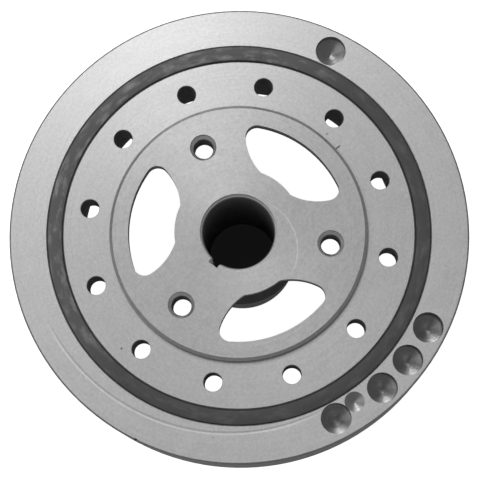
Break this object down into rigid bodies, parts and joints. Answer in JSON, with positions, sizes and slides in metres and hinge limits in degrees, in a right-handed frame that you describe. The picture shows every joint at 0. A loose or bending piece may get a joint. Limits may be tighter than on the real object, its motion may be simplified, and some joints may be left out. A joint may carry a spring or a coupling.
{
  "type": "crankshaft vibration damper",
  "caption": "Round crankshaft damper: a bored hub with a windowed, drilled front flange, held by a rubber band inside a heavy outer ring with balance drillings.",
  "frame": {"origin": "on the crank axis, in the plane of the sleeve's rear end, which is the damper's lowest point as it stands on its sleeve", "axes": "+Z along the crank axis towards the front, where the pulley bolts on; +X from the axis through the middle of the keyway; +Y completes the right-handed frame"},
  "size_m": [0.2032, 0.2032, 0.0748],
  "materials": {
    "hub_iron": "turned on the front face and sleeve, as cast behind",
    "damper_rubber": "matt, with a dusty bloom",
    "ring_iron": "turned and ground"
  },
  "bodies": {
    "hub": {"hub": "hub_iron", "elastomer_ring": "damper_rubber"},
    "outer_ring": {"inertia_ring": "ring_iron"}
  },
  "joints": [
    {"name": "ring_twist", "type": "hinge", "parent": "hub", "child": "outer_ring", "pos_m": [0, 0, 0.0521], "axis": [0, 0, 1], "range_deg": [-1, 1], "stiffness_Nm_per_rad": 2000}
  ]
}
